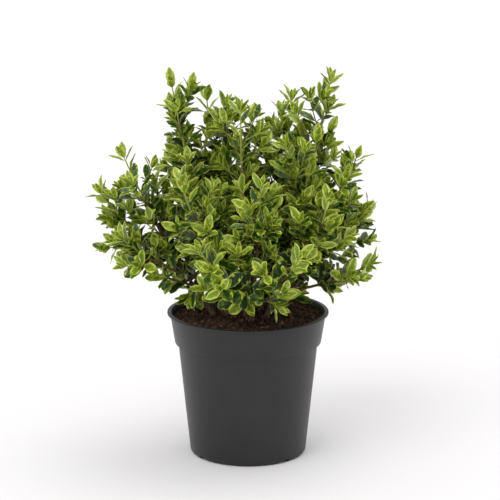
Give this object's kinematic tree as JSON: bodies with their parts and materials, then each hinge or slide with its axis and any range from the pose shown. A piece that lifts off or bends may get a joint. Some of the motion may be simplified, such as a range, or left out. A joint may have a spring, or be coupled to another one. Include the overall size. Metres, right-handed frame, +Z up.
{
  "type": "potted variegated japanese euonymus shrub",
  "caption": "Bushy evergreen shrub with small cream-edged leaves on upright shoots, rooted in soil in a round tapered dark grey nursery pot.",
  "frame": {"origin": "middle of the pot's flat underside, on the surface it stands on", "axes": "+Z up, the plant's front faces -Y, +X to the right of the front"},
  "size_m": [0.3385, 0.2979, 0.4506],
  "materials": {
    "pot_plastic": "satin moulded dark grey plastic",
    "soil": "crumbly brown peat",
    "bark": "thin green-brown bark",
    "leaves": "glossy green leaves with pale yellow-green margins"
  },
  "bodies": {
    "root": {"bough_shoulder_back_left": "bark", "bough_shoulder_back_right": "bark", "bough_shoulder_front_left": "bark", "bough_shoulder_front_right": "bark", "bough_skirt_back_left": "bark", "bough_skirt_back_right": "bark", "bough_skirt_front_left": "bark", "bough_skirt_front_right": "bark", "bough_skirt_left": "bark", "bough_skirt_right": "bark", "bough_waist_back_left": "bark", "bough_waist_back_right": "bark", "bough_waist_front_left": "bark", "bough_waist_front_right": "bark", "bough_waist_left_broad": "bark", "bough_waist_left_far": "bark", "bough_waist_right": "bark", "foliage_crest_back": "leaves", "foliage_crest_front": "leaves", "foliage_crest_left": "leaves", "foliage_crest_right": "leaves", "foliage_shoulder_back": "leaves", "foliage_shoulder_back_left": "leaves", "foliage_shoulder_back_right": "leaves", "foliage_shoulder_front": "leaves", "foliage_shoulder_front_left": "leaves", "foliage_shoulder_front_right": "leaves", "foliage_shoulder_left": "leaves", "foliage_shoulder_right": "leaves", "foliage_skirt_back_left": "leaves", "foliage_skirt_back_right": "leaves", "foliage_skirt_front_left": "leaves", "foliage_skirt_front_right": "leaves", "foliage_skirt_left": "leaves", "foliage_skirt_right": "leaves", "foliage_tall_left": "leaves", "foliage_tall_right": "leaves", "foliage_waist_back_left": "leaves", "foliage_waist_back_right": "leaves", "foliage_waist_front_left": "leaves", "foliage_waist_front_right": "leaves", "foliage_waist_left_broad": "leaves", "foliage_waist_left_far": "leaves", "foliage_waist_right": "leaves", "pot": "pot_plastic", "soil": "soil", "stem_crest_back": "bark", "stem_crest_front": "bark", "stem_crest_left": "bark", "stem_crest_right": "bark", "stem_shoulder_back": "bark", "stem_shoulder_front": "bark", "stem_shoulder_left": "bark", "stem_shoulder_right": "bark", "stem_tall_left": "bark", "stem_tall_right": "bark"}
  },
  "joints": []
}
